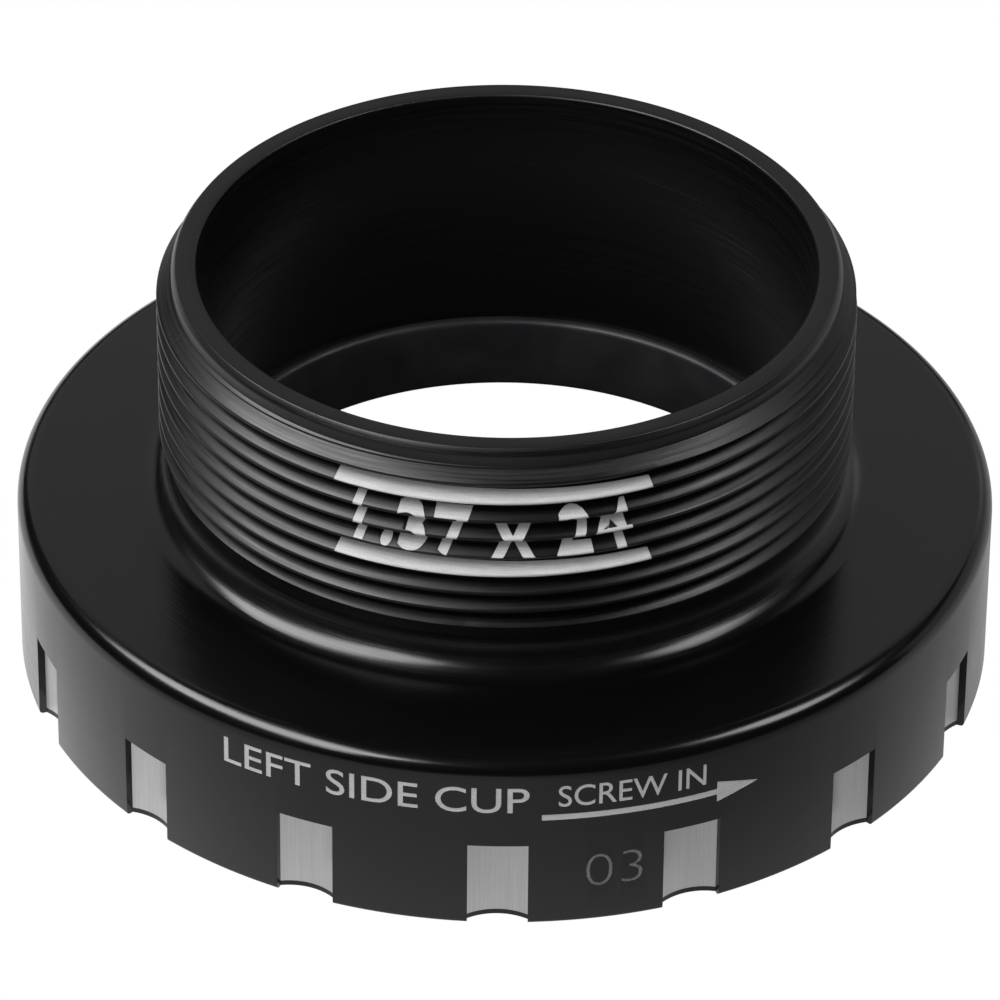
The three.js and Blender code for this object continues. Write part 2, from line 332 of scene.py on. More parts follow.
# %% Finishes of the bearing
black_steel, tree, shader = new_finish("black_oxide_steel", grey(0.016), 0.45, 0.35)
rings = noise(tree, ring_place(tree, 0.07 * MM, 5 * MM), detail=4, roughness=0.7)
clouds = noise(tree, object_place(tree), scale=500, detail=4)
colour = blend_colours(
    tree, spread(tree, clouds, 0.0, 1.0), (0.011, 0.0115, 0.013, 1), (0.021, 0.021, 0.022, 1)
)
tree.links.new(colour, shader.inputs["Base Color"])
tree.links.new(spread(tree, rings, 0.36, 0.55), shader.inputs["Roughness"])
raise_marks(tree, shader, [(rings, 0.25, 0.003 * MM)])

ball_steel, tree, shader = new_finish("polished_ball_steel", grey(0.72), 0.07, 1.0)
haze = noise(tree, object_place(tree), scale=900, detail=4)
scuffs = noise(tree, object_place(tree), scale=6000, detail=2)
colour = blend_colours(
    tree, spread(tree, haze, 0.0, 1.0), (0.66, 0.67, 0.69, 1), (0.76, 0.76, 0.77, 1)
)
tree.links.new(colour, shader.inputs["Base Color"])
tree.links.new(spread(tree, haze, 0.05, 0.14), shader.inputs["Roughness"])
raise_marks(tree, shader, [(scuffs, 0.05, 0.001 * MM)])

cage_nylon, tree, shader = new_finish("cage_nylon", (0.2, 0.16, 0.1, 1), 0.5)
mottle = noise(tree, object_place(tree), scale=1400, detail=4, roughness=0.6)
fibres = noise(
    tree, stretched_place(tree, (0.4 * MM, 0.4 * MM, 0.05 * MM)), detail=3, roughness=0.6
)
colour = blend_colours(
    tree, spread(tree, mottle, 0.0, 1.0), (0.15, 0.115, 0.065, 1), (0.27, 0.22, 0.14, 1)
)
tree.links.new(colour, shader.inputs["Base Color"])
tree.links.new(spread(tree, fibres, 0.4, 0.62), shader.inputs["Roughness"])
set_inputs(shader, Subsurface_Weight=0.1, Subsurface_Scale=0.2 * MM)
raise_marks(tree, shader, [(fibres, 0.2, 0.004 * MM), (mottle, 0.15, 0.006 * MM)])


def rubber(name, tone, roughness_low, roughness_high, grain_scale):
    material, tree, shader = new_finish(name, grey(tone), roughness_high)
    bloom = noise(tree, object_place(tree), scale=420, detail=5, roughness=0.6)
    grain = noise(tree, object_place(tree), scale=grain_scale, detail=3)
    flow = noise(tree, ring_place(tree, 0.2 * MM, 6 * MM), detail=3, roughness=0.6)
    colour = blend_colours(
        tree, spread(tree, bloom, 0.0, 1.0), grey(tone * 0.75), grey(tone * 1.5)
    )
    tree.links.new(colour, shader.inputs["Base Color"])
    tree.links.new(
        spread(tree, grain, roughness_low, roughness_high), shader.inputs["Roughness"]
    )
    raise_marks(
        tree, shader, [(flow, 0.12, 0.01 * MM), (grain, 0.3, 0.006 * MM)]
    )
    return material


seal_rubber = rubber("seal_rubber", 0.014, 0.48, 0.66, 7000)
dust_rubber = rubber("dust_seal_rubber", 0.011, 0.5, 0.72, 4500)
print("finishes made:", len(bpy.data.materials))

# %% [markdown]
# ## Helpers for turned pieces
#
# Nearly every piece here is round about the axis. In Blender a turned ring starts as a circle primitive.
# Extruding its edge and then scaling or moving the new edge walks the outline of the section, one corner
# after the other, and a bridge between the last edge and the first closes the ring. Spin could sweep a
# drawn section too, but the walk keeps every circle exact and needs no seam to be merged.


# %% Helpers for selecting and turning
def start_alone():
    if bpy.context.object and bpy.context.object.mode != "OBJECT":
        bpy.ops.object.mode_set(mode="OBJECT")
    bpy.ops.object.select_all(action="DESELECT")


def make_active(piece):
    start_alone()
    piece.select_set(True)
    bpy.context.view_layer.objects.active = piece


def turned_ring(name, outline, sides=ROUND):
    start_alone()
    radius, height = outline[0]
    bpy.ops.mesh.primitive_circle_add(vertices=sides, radius=radius)
    piece = bpy.context.object
    piece.name = name
    bpy.ops.object.mode_set(mode="EDIT")
    bpy.ops.mesh.select_all(action="SELECT")
    bpy.ops.transform.translate(value=(0, 0, height))
    for next_radius, next_height in outline[1:]:
        bpy.ops.mesh.extrude_edges_move()
        scale = next_radius / radius
        bpy.ops.transform.resize(value=(scale, scale, 1), center_override=(0, 0, 0))
        bpy.ops.transform.translate(value=(0, 0, next_height - height))
        radius, height = next_radius, next_height
    bpy.ops.mesh.select_all(action="DESELECT")
    bpy.ops.mesh.select_non_manifold()
    bpy.ops.mesh.bridge_edge_loops()
    bpy.ops.mesh.select_all(action="SELECT")
    bpy.ops.mesh.normals_make_consistent(inside=False)
    bpy.ops.object.mode_set(mode="OBJECT")
    return piece


def arc(centre, radius, start, end, steps):
    points = []
    for i in range(steps + 1):
        angle = math.radians(start + (end - start) * i / steps)
        points.append(
            (centre[0] + radius * math.cos(angle), centre[1] + radius * math.sin(angle))
        )
    return points


# %% [markdown]
# Corners are rounded after the walk, with the bevel operator on one ring of edges at a time. The ring is
# found in code by its radius and height. A tool that cuts many times round the axis is modelled once, and
# its copies are joined, so that one Boolean does all the cuts.


# %% Helpers for bevels and booleans
def bevel_ring(piece, radius, height, width, segments):
    make_active(piece)
    bpy.ops.object.mode_set(mode="EDIT")
    bpy.ops.mesh.select_all(action="DESELECT")
    bpy.ops.mesh.select_mode(type="EDGE")
    mesh = bmesh.from_edit_mesh(piece.data)
    near = 0.002 * MM
    for edge in mesh.edges:
        edge.select_set(
            all(
                abs(v.co.xy.length - radius) < near and abs(v.co.z - height) < near
                for v in edge.verts
            )
        )
    mesh.select_flush_mode()
    bmesh.update_edit_mesh(piece.data)
    bpy.ops.mesh.bevel(offset=width, segments=segments, profile=0.5, affect="EDGES")
    bpy.ops.object.mode_set(mode="OBJECT")


def ring_of_copies(tool, count):
    """Turns the tool into one object of count copies, evenly spaced round the axis."""
    start_alone()
    copies = []
    for i in range(count):
        copy = tool.copy()
        copy.data = tool.data.copy()
        copy.rotation_euler.z = math.tau * i / count
        bpy.context.collection.objects.link(copy)
        copies.append(copy)
    for copy in copies:
        copy.select_set(True)
    bpy.context.view_layer.objects.active = copies[0]
    bpy.ops.object.transform_apply(rotation=True)
    bpy.ops.object.join()
    bpy.data.objects.remove(tool)
    return bpy.context.object


def cut_or_join(piece, tool, operation, keep_tool=False):
    make_active(piece)
    boolean = piece.modifiers.new("boolean", "BOOLEAN")
    boolean.operation = operation
    boolean.solver = "MANIFOLD"
    boolean.material_mode = "TRANSFER"
    boolean.object = tool
    bpy.ops.object.modifier_apply(modifier=boolean.name)
    if not keep_tool:
        bpy.data.objects.remove(tool)


def smooth(piece, degrees=32):
    make_active(piece)
    bpy.ops.object.shade_smooth_by_angle(angle=math.radians(degrees))


# %% [markdown]
# ## The cup's blank
#
# One bar of aluminium is turned to the sleeve, the neck and the flange, bored through, and bored again
# from the outboard side for the bearing's seat and the dust seal. The outline below goes up the bore,
# over the rim, down the outside and back through the counterbore.

# %% Turn the blank
RIM_RADIUS = 16.42 * MM
LEAD_IN_RADIUS = 16.65 * MM
LEAD_IN_HEIGHT = 21.15 * MM
RIM_CHAMFER = 0.35 * MM
MOUTH_WIDTH = 1.3 * MM
MOUTH_HEIGHT = 0.9 * MM

cup = turned_ring(
    "cup",
    [
        (BORE_RADIUS, SHOULDER_HEIGHT),
        (BORE_RADIUS, TOTAL_HEIGHT),
        (RIM_RADIUS, TOTAL_HEIGHT),
        (LEAD_IN_RADIUS, TOTAL_HEIGHT - RIM_CHAMFER),
        (LEAD_IN_RADIUS, LEAD_IN_HEIGHT),
        (ROOT_RADIUS, LEAD_IN_HEIGHT),
        (ROOT_RADIUS, FLANGE_HEIGHT),
        (FLANGE_RADIUS, FLANGE_HEIGHT),
        (FLANGE_RADIUS, 0),
        (COUNTERBORE_RADIUS + MOUTH_WIDTH, 0),
        (COUNTERBORE_RADIUS, MOUTH_HEIGHT),
        (COUNTERBORE_RADIUS, COUNTERBORE_DEPTH),
        (SEAT_RADIUS, COUNTERBORE_DEPTH),
        (SEAT_RADIUS, SHOULDER_HEIGHT),
    ],
)
print("blank faces:", len(cup.data.polygons))

# %% Round its corners
bevel_ring(cup, FLANGE_RADIUS, FLANGE_HEIGHT, FLANGE_EDGE, 10)
bevel_ring(cup, ROOT_RADIUS, FLANGE_HEIGHT, 1.8 * MM, 12)
bevel_ring(cup, FLANGE_RADIUS, 0, 0.2 * MM, 3)
bevel_ring(cup, BORE_RADIUS, TOTAL_HEIGHT, 0.15 * MM, 3)
bevel_ring(cup, RIM_RADIUS, TOTAL_HEIGHT, 0.05 * MM, 2)
bevel_ring(cup, LEAD_IN_RADIUS, TOTAL_HEIGHT - RIM_CHAMFER, 0.06 * MM, 3)
bevel_ring(cup, COUNTERBORE_RADIUS + MOUTH_WIDTH, 0, 0.15 * MM, 2)
bevel_ring(cup, BORE_RADIUS, SHOULDER_HEIGHT, 0.12 * MM, 2)
print("with rounded corners:", len(cup.data.polygons))

# %% [markdown]
# ## The thread
#
# The thread is one ridge on a helix. A plane primitive becomes the ridge's section: its outer edge is
# scaled to the width of the crest, and the crest's corners are rounded. The Screw modifier sweeps it
# upwards by one pitch a turn, which makes a right-hand thread. The section stands on the +X axis, a
# quarter of a turn after the front, and starts two turns under the crest whose height is given. The ends
# are filled so that the ridge is a closed solid.

# %% Section of the ridge
BURIED = 0.1 * MM
CREST_ROUNDING = 0.06 * MM
QUARTER_TURN = 0.25
TURNS_BELOW = 2
base_half_width = (THREAD_PITCH - THREAD_FLAT) / 2 + BURIED * math.tan(THREAD_FLANK)

start_alone()
bpy.ops.mesh.primitive_plane_add(size=1, rotation=(math.pi / 2, 0, 0))
ridge = bpy.context.object
ridge.name = "thread_ridge"
bpy.ops.object.transform_apply(rotation=True)
bpy.ops.object.mode_set(mode="EDIT")
bpy.ops.mesh.select_all(action="SELECT")
bpy.ops.transform.resize(
    value=(THREAD_DEPTH + BURIED, 1, 2 * base_half_width), center_override=(0, 0, 0)
)
bpy.ops.mesh.select_all(action="DESELECT")
section = bmesh.from_edit_mesh(ridge.data)
for vertex in section.verts:
    vertex.select_set(vertex.co.x > 0)
section.select_flush_mode()
bmesh.update_edit_mesh(ridge.data)
bpy.ops.transform.resize(
    value=(1, 1, THREAD_FLAT / 2 / base_half_width), center_override=(0, 0, 0)
)
bpy.ops.mesh.bevel(
    offset=CREST_ROUNDING, offset_type="OFFSET", segments=3, affect="VERTICES"
)
bpy.ops.mesh.select_all(action="SELECT")
first_height = CREST_AT_FRONT + THREAD_PITCH * (QUARTER_TURN - TURNS_BELOW)
bpy.ops.transform.translate(
    value=(ROOT_RADIUS + (THREAD_DEPTH - BURIED) / 2, 0, first_height)
)
bpy.ops.mesh.delete(type="ONLY_FACE")
bpy.ops.object.mode_set(mode="OBJECT")
print("section corners:", len(ridge.data.vertices))

# %% Sweep it along the helix
TURNS = 11
make_active(ridge)
screw = ridge.modifiers.new("screw", "SCREW")
screw.axis = "Z"
screw.angle = math.tau
screw.screw_offset = THREAD_PITCH
screw.iterations = TURNS
screw.steps = ROUND
screw.render_steps = ROUND
screw.use_merge_vertices = False
bpy.ops.object.modifier_apply(modifier=screw.name)
bpy.ops.object.mode_set(mode="EDIT")
bpy.ops.mesh.select_all(action="SELECT")
bpy.ops.mesh.remove_doubles(threshold=0.0002 * MM)
bpy.ops.mesh.select_all(action="DESELECT")
bpy.ops.mesh.select_non_manifold()
bpy.ops.mesh.fill_holes(sides=0)
bpy.ops.mesh.select_all(action="SELECT")
bpy.ops.mesh.normals_make_consistent(inside=False)
bpy.ops.object.mode_set(mode="OBJECT")
print("ridge faces:", len(ridge.data.polygons))

# %% [markdown]
# A lathe tool bevels both ends of a thread. The ridge is therefore trimmed to a band with sloping ends
# before it is joined to the blank.

# %% Trim the ridge and join it
BAND_BOTTOM = 11.9 * MM
BAND_TOP = 21.65 * MM
BAND_STEEPNESS = 0.65
UNDER_ROOT = 0.3 * MM
OVER_CREST = 0.4 * MM

cup.data.materials.append(black_anodised)
ridge.data.materials.append(black_anodised)
band_inside = ROOT_RADIUS - UNDER_ROOT
band_outside = THREAD_RADIUS + OVER_CREST
band_slope = BAND_STEEPNESS * (band_outside - band_inside)
band = turned_ring(
    "thread_band",
    [
        (band_inside, BAND_BOTTOM),
        (band_inside, BAND_TOP),
        (band_outside, BAND_TOP - band_slope),
        (band_outside, BAND_BOTTOM + band_slope),
    ],
)
cut_or_join(ridge, band, "INTERSECT")
cut_or_join(cup, ridge, "UNION")
print("threaded blank:", len(cup.data.polygons), "faces")

# %% [markdown]
# ## The notches
#
# A spanner grips the flange by 16 notches. Each is shallow, with straight sides and a hollow back, and
# runs out through the outboard face. A cube is stretched to the notch, its faces are cut into strips, and
# the strips of its back wall are moved onto an arc.

# %% Model the notch cutter
NOTCH_COUNT = 16
NOTCH_WIDTH = 2.95 * MM
NOTCH_HEIGHT = 4.75 * MM
NOTCH_SIDE_DEPTH = 0.38 * MM
NOTCH_SAG = 0.42 * MM
PAST_FACE = 1 * MM
# Height of the black band at the foot of each notch's back wall: a painted shadow where the cup meets the
# table.
NOTCH_PAINTED_SHADOW_HEIGHT = 0.28 * MM
BACK_STEPS = 6

half_width = NOTCH_WIDTH / 2
wall_y = -(math.sqrt(FLANGE_RADIUS**2 - half_width**2) - NOTCH_SIDE_DEPTH)
back_radius = (half_width**2 + NOTCH_SAG**2) / (2 * NOTCH_SAG)
start_alone()
bpy.ops.mesh.primitive_cube_add(size=1)
cutter = bpy.context.object
cutter.name = "notch_cutter"
bpy.ops.object.mode_set(mode="EDIT")
bpy.ops.mesh.select_all(action="SELECT")
bpy.ops.transform.resize(
    value=(NOTCH_WIDTH, 2 * PAST_FACE, NOTCH_HEIGHT + PAST_FACE),
    center_override=(0, 0, 0),
)
bpy.ops.transform.translate(
    value=(0, wall_y - PAST_FACE, (NOTCH_HEIGHT - PAST_FACE) / 2)
)
bpy.ops.mesh.bisect(plane_co=(0, 0, 0), plane_no=(1, 0, 0))
bpy.ops.mesh.select_all(action="SELECT")
bpy.ops.mesh.bisect(plane_co=(0, 0, NOTCH_PAINTED_SHADOW_HEIGHT), plane_no=(0, 0, 1))
for i in range(1, BACK_STEPS):
    for side in (-1, 1):
        bpy.ops.mesh.select_all(action="SELECT")
        bpy.ops.mesh.bisect(
            plane_co=(side * half_width * i / BACK_STEPS, 0, 0), plane_no=(1, 0, 0)
        )
bpy.ops.object.mode_set(mode="OBJECT")
sag_offset = math.sqrt(back_radius**2 - half_width**2)
for vertex in cutter.data.vertices:
    if abs(vertex.co.y - wall_y) < 0.001 * MM:
        vertex.co.y += math.sqrt(back_radius**2 - vertex.co.x**2) - sag_offset
print("cutter faces:", len(cutter.data.polygons))

# %% [markdown]
# The cut takes its finish from the cutter. The back wall is bare metal, apart from a thin black band at its
# foot, which is a painted shadow where the cup stands on the table, and the sides stay black.

# %% Cut the notches
cutter.data.materials.append(black_anodised)
cutter.data.materials.append(milled)
for face in cutter.data.polygons:
    # Back-wall faces under this height keep the black finish, as a painted shadow at the notch's foot.
    is_wall = face.normal.y > 0.5 and face.center.z > NOTCH_PAINTED_SHADOW_HEIGHT
    face.material_index = 1 if is_wall else 0

cut_or_join(cup, ring_of_copies(cutter, NOTCH_COUNT), "DIFFERENCE")
print("notched cup:", len(cup.data.polygons), "faces")

# %% [markdown]
# ## The markings
#
# Plain workshop words say which side the cup is for and which way it screws in, and the sleeve carries
# its thread's size. A laser takes off the black layer, so each stroke is a very shallow recess with a
# light floor. Text could be painted by a texture, but real letters keep sharp edges at any distance. Each
# marking starts as a flat, thick shape: a text object made a mesh, a bevelled cube for a bar, and a cube
# with two extruded steps for an arrow.

# %% Helpers for flat markings
ETCH_DEPTH = 0.015 * MM


def close_mesh(piece):
    make_active(piece)
    bpy.ops.object.mode_set(mode="EDIT")
    bpy.ops.mesh.select_all(action="SELECT")
    bpy.ops.mesh.remove_doubles(threshold=0.0001 * MM)
    bpy.ops.mesh.normals_make_consistent(inside=False)
    bpy.ops.object.mode_set(mode="OBJECT")


def extent(piece):
    corners = [vertex.co for vertex in piece.data.vertices]
    low = Vector([min(c[i] for c in corners) for i in range(3)])
    high = Vector([max(c[i] for c in corners) for i in range(3)])
    return low, high


def letters(words, weight):
    """Weight widens each stroke, or thins it where it is below zero."""
    start_alone()
    bpy.ops.object.text_add()
    bpy.context.object.data.body = words
    bpy.context.object.data.extrude = 0.5
    bpy.context.object.data.resolution_u = 5
    bpy.context.object.data.offset = weight
    bpy.ops.object.convert(target="MESH")
    return bpy.context.object


def bar():
    start_alone()
    bpy.ops.mesh.primitive_cube_add(size=1)
    bpy.ops.object.mode_set(mode="EDIT")
    bpy.ops.mesh.select_all(action="SELECT")
    bpy.ops.mesh.bevel(offset=0.02, segments=2, affect="EDGES")
    bpy.ops.object.mode_set(mode="OBJECT")
    return bpy.context.object


def arrow(shaft_length, shaft_width, head_length, head_width):
    start_alone()
    bpy.ops.mesh.primitive_cube_add(size=1, location=(0.5, 0, 0))
    bpy.ops.object.transform_apply(location=True)
    piece = bpy.context.object
    bpy.ops.object.mode_set(mode="EDIT")
    bpy.ops.mesh.select_all(action="SELECT")
    bpy.ops.transform.resize(
        value=(shaft_length, shaft_width, 1), center_override=(0, 0, 0)
    )
    bpy.ops.mesh.select_all(action="DESELECT")
    mesh = bmesh.from_edit_mesh(piece.data)
    for face in mesh.faces:
        face.select_set(face.normal.x > 0.9)
    bmesh.update_edit_mesh(piece.data)
    for step, widen in ((0.01, head_width / shaft_width), (head_length, 0.03)):
        bpy.ops.mesh.extrude_region_move(
            TRANSFORM_OT_translate={"value": (step, 0, 0)}
        )
        bpy.ops.transform.resize(value=(1, widen, 1), center_override=(0, 0, 0))
    bpy.ops.object.mode_set(mode="OBJECT")
    return piece


# %% [markdown]
# The flat shape then gets its size and finish. It is stood up and cut into narrow strips so that it can
# bend, and the Simple Deform modifier bends it round the cup's axis. A Boolean will cut the recess with
# it.


# %% Helpers for bending a marking round the cup
def lay_out(piece, name, width, height, thickness, finish=marked):
    """The flat marking gets its size, with its lower left corner at the origin."""
    piece.name = name
    low, high = extent(piece)
    make_active(piece)
    bpy.ops.object.mode_set(mode="EDIT")
    bpy.ops.mesh.select_all(action="SELECT")
    bpy.ops.transform.translate(value=(-low.x, -low.y, 0))
    bpy.ops.transform.resize(
        value=(width / (high.x - low.x), height / (high.y - low.y), thickness),
        center_override=(0, 0, 0),
    )
    bpy.ops.object.mode_set(mode="OBJECT")
    piece.data.materials.append(finish)
    close_mesh(piece)


def wrap_on_cup(piece, radius, start, bottom, depth):
    """Stands a flat marking up and bends it round the axis, to reach depth inside the radius. Start is where
    its left edge lies along the arc, from the front."""
    STRIP = 0.5 * MM
    piece.rotation_euler.x = math.pi / 2
    make_active(piece)
    bpy.ops.object.transform_apply(rotation=True)
    low, high = extent(piece)
    bpy.ops.object.mode_set(mode="EDIT")
    bpy.ops.mesh.select_all(action="SELECT")
    bpy.ops.transform.translate(value=(0, depth - high.y, 0))
    for i in range(1, math.ceil((high.x - low.x) / STRIP)):
        bpy.ops.mesh.select_all(action="SELECT")
        bpy.ops.mesh.bisect(plane_co=(low.x + i * STRIP, 0, 0), plane_no=(1, 0, 0))
    bpy.ops.object.mode_set(mode="OBJECT")
    bend = piece.modifiers.new("bend", "SIMPLE_DEFORM")
    bend.deform_method = "BEND"
    bend.deform_axis = "Z"
    bend.angle = (high.x - low.x) / radius
    bpy.ops.object.modifier_apply(modifier=bend.name)
    piece.location = (0, -radius, bottom)
    bpy.ops.object.transform_apply(location=True)
    piece.rotation_euler.z = start / radius
    bpy.ops.object.transform_apply(rotation=True)
    close_mesh(piece)


# %% [markdown]
# On the flange the strokes only have to reach 0.015 mm under the round wall. Each row below gives a
# marking's name, its width and height, where its left edge starts along the wall from the front, and the
# height of its lower edge, in millimetres.

# %% Mark the flange
WORD_THICKNESS = 0.3 * MM
WORD_WEIGHT = 0.004
CODE_WEIGHT = -0.022

turn_arrow = arrow(shaft_length=8.8, shaft_width=0.34, head_length=2.2, head_width=1.25)
flange_marks = []
for piece, name, width, height, start, bottom, finish in (
    (letters("LEFT SIDE CUP", WORD_WEIGHT), "side_words", 15.6, 1.5, -14.1, 6.75, marked),
    (letters("SCREW IN", WORD_WEIGHT), "turn_words", 7.4, 1.25, 2.9, 7.05, marked),
    (turn_arrow, "turn_arrow", 11.0, 1.2, 2.1, 5.85, marked),
    (letters("03", CODE_WEIGHT), "size_code", 2.8, 1.9, 4.3, 2.1, scribed),
):
    lay_out(piece, name, width * MM, height * MM, WORD_THICKNESS, finish)
    wrap_on_cup(piece, FLANGE_RADIUS, start * MM, bottom * MM, ETCH_DEPTH)
    flange_marks.append(piece)
for cutter in flange_marks:
    cut_or_join(cup, cutter, "DIFFERENCE")
print("marked flange:", len(cup.data.polygons), "faces")

# %% [markdown]
# On the sleeve the beam follows the thread, over crests and roots alike. There the cutter is the bent text
# without a slightly thinner copy of the cup, which leaves a skin that follows every flank. Seen from above,
# only the crests and the flanks over them show, so the level strokes are put at those heights.

# %% Make the thread's markings
SLEEVE_MARK_RADIUS = 17.3 * MM
SLEEVE_MARK_DEPTH = 0.9 * MM
SLEEVE_MARK_THICKNESS = 1.4 * MM
DIGIT_WEIGHT = 0.014
DIGITS_WIDTH = 13.8 * MM
DIGITS_START = -7.4 * MM
BAR_WIDTH = 15.8 * MM
BAR_HEIGHT = 0.5 * MM
BAR_START = -8.4 * MM
BAR_ON_CREST = 0.12 * MM


def upper_flank(turns_up):
    """The height at the front where a crest ends and the flank above it starts."""
    return CREST_AT_FRONT + THREAD_PITCH * turns_up + THREAD_FLAT / 2


digits_low = upper_flank(4) - 0.1 * MM
digits_high = upper_flank(6) + 0.42 * MM
thread_digits = letters("1.37 x 24", DIGIT_WEIGHT)
digits_height = digits_high - digits_low
lay_out(thread_digits, "thread_digits", DIGITS_WIDTH, digits_height, SLEEVE_MARK_THICKNESS)
wrap_on_cup(
    thread_digits, SLEEVE_MARK_RADIUS, DIGITS_START, digits_low, SLEEVE_MARK_DEPTH
)
sleeve_marks = [thread_digits]
for turns_up in (3, 7):
    line = bar()
    lay_out(line, "size_line", BAR_WIDTH, BAR_HEIGHT, SLEEVE_MARK_THICKNESS)
    bottom = upper_flank(turns_up) - BAR_ON_CREST
    wrap_on_cup(line, SLEEVE_MARK_RADIUS, BAR_START, bottom, SLEEVE_MARK_DEPTH)
    sleeve_marks.append(line)
print("sleeve markings:", len(sleeve_marks))

# %% [markdown]
# The thinner copy of the cup is made by scaling it towards the axis by the depth of the marking. It
# carries the laser's finish, so the floor of each recess becomes light grey. With its last cut the cup is
# finished.

# %% Cut the thread's markings
thin_cup = cup.copy()
thin_cup.data = cup.data.copy()
bpy.context.collection.objects.link(thin_cup)
make_active(thin_cup)
bpy.ops.object.mode_set(mode="EDIT")
bpy.ops.mesh.select_all(action="SELECT")
thinner = 1 - ETCH_DEPTH / THREAD_RADIUS
bpy.ops.transform.resize(value=(thinner, thinner, 1), center_override=(0, 0, 0))
bpy.ops.object.mode_set(mode="OBJECT")
thin_cup.data.materials.clear()
thin_cup.data.materials.append(marked)
for cutter in sleeve_marks:
    cut_or_join(cutter, thin_cup, "DIFFERENCE", keep_tool=True)
    cut_or_join(cup, cutter, "DIFFERENCE")
bpy.data.objects.remove(thin_cup)
smooth(cup)
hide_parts("cup_body")
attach(cup, "cup")
print("finished cup:", len(cup.data.polygons), "faces", [m.name for m in cup.data.materials])

# %% [markdown]
# ## The bearing
#
# A thin bearing of 30 by 37 by 4 mm sits against the shoulder under the sleeve. Both rings are turned
# with a round groove for the balls, and the outer one also has a small groove at each face that holds a
# seal. Their sections are walked like the cup's, and the sharp corners are bevelled afterwards.

# %% Sizes of the bearing
BEARING_LOW, BEARING_HIGH = ring_low.z, ring_high.z
BEARING_CENTRE = (BEARING_LOW + BEARING_HIGH) / 2
BALL_RADIUS = 1.0 * MM
BALL_COUNT = 26
first_ball_low, first_ball_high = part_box("bearing_ball_01")
PITCH_RADIUS = (first_ball_low.x + first_ball_high.x) / 2
INNER_LAND = 16.15 * MM
OUTER_LAND = 17.35 * MM
RACE_STEPS = 14
print(f"ball pitch radius {PITCH_RADIUS / MM:.3f} mm, centre {BEARING_CENTRE / MM:.3f} mm")

# %% Outer ring
GROOVE_RADIUS = 17.55 * MM
GROOVE_MOUTH = 17.42 * MM
FACE_START = 17.60 * MM
CORNER_ROUNDING = 0.3 * MM

centre = (PITCH_RADIUS, BEARING_CENTRE)
race = BALL_RADIUS + 0.08 * MM
half = math.degrees(math.acos((OUTER_LAND - PITCH_RADIUS) / race))
outside = ring_high.x
groove = (
    (GROOVE_MOUTH, 0),
    (GROOVE_MOUTH, 0.10 * MM),
    (GROOVE_RADIUS, 0.14 * MM),
    (GROOVE_RADIUS, 0.50 * MM),
    (OUTER_LAND, 0.62 * MM),
)
outer_ring = turned_ring(
    "outer_race",
    [
        (FACE_START, BEARING_LOW),
        *[(radius, BEARING_LOW + back) for radius, back in groove],
        *arc(centre, race, -half, half, RACE_STEPS),
        *[(radius, BEARING_HIGH - back) for radius, back in reversed(groove)],
        (outside, BEARING_HIGH),
        (outside, BEARING_LOW),
    ],
)
for height in (BEARING_LOW, BEARING_HIGH):
    bevel_ring(outer_ring, outside, height, CORNER_ROUNDING, 4)
    bevel_ring(outer_ring, GROOVE_MOUTH, height, 0.04 * MM, 1)
print(f"ball groove of the outer ring: radius {race / MM:.2f} mm")

# %% Inner ring, and the finish of both
BEARING_BORE = 15 * MM
race = BALL_RADIUS + 0.04 * MM
half = math.degrees(math.acos((PITCH_RADIUS - INNER_LAND) / race))
inner_ring = turned_ring(
    "inner_race",
    [
        (INNER_LAND, BEARING_LOW),
        (BEARING_BORE, BEARING_LOW),
        (BEARING_BORE, BEARING_HIGH),
        (INNER_LAND, BEARING_HIGH),
        *arc(centre, race, 180 - half, 180 + half, RACE_STEPS),
    ],
)
for height in (BEARING_LOW, BEARING_HIGH):
    bevel_ring(inner_ring, BEARING_BORE, height, CORNER_ROUNDING, 4)
    bevel_ring(inner_ring, INNER_LAND, height, 0.06 * MM, 2)

for ring, body, node_name in (
    (outer_ring, "cup", "bearing_outer_ring"),
    (inner_ring, "inner_ring", "bearing_inner_ring"),
):
    ring.data.materials.append(black_steel)
    smooth(ring)
    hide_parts(node_name)
    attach(ring, body)
    print(ring.name, len(ring.data.polygons), "faces")

# %% [markdown]
# A ball made as a UV sphere has pinched poles. Here a cube is subdivided and pushed out to a sphere,
# which gives even four-sided faces all over. One ball is made, and copied round the pitch circle with a
# mesh of its own each. Each copy is tested: its middle must lie where the CAD model's ball has its
# middle.

# %% Balls
SAME_PLACE = 0.05 * MM

start_alone()
bpy.ops.mesh.primitive_cube_add(size=2 * BALL_RADIUS)
ball = bpy.context.object
bpy.ops.object.mode_set(mode="EDIT")
bpy.ops.mesh.select_all(action="SELECT")
bpy.ops.mesh.subdivide(number_cuts=9)
bpy.ops.transform.tosphere(value=1)
bpy.ops.object.mode_set(mode="OBJECT")
for vertex in ball.data.vertices:
    vertex.co *= BALL_RADIUS / vertex.co.length
ball.data.materials.append(ball_steel)
make_active(ball)
bpy.ops.object.shade_smooth()

for i in range(BALL_COUNT):
    copy = ball.copy()
    copy.data = ball.data.copy()
    copy.name = f"ball_{i + 1:02d}"
    angle = math.tau * i / BALL_COUNT
    copy.location = (
        PITCH_RADIUS * math.cos(angle),
        PITCH_RADIUS * math.sin(angle),
        BEARING_CENTRE,
    )
    bpy.context.collection.objects.link(copy)
    make_active(copy)
    bpy.ops.object.transform_apply(location=True)
    node_name = f"bearing_ball_{i + 1:02d}"
    low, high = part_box(node_name)
    middle = sum((vertex.co for vertex in copy.data.vertices), Vector()) / len(
        copy.data.vertices
    )
    assert (middle - (low + high) / 2).length < SAME_PLACE
    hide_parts(node_name)
    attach(copy, "ball_set")
bpy.data.objects.remove(ball)
print(BALL_COUNT, "balls")

# %% [markdown]
# The cage is a crown: a thin ring of nylon with open pockets that snap over the balls. The ring is
# turned, and one Boolean drills the 26 pockets with cutters that are copies of one cylinder.

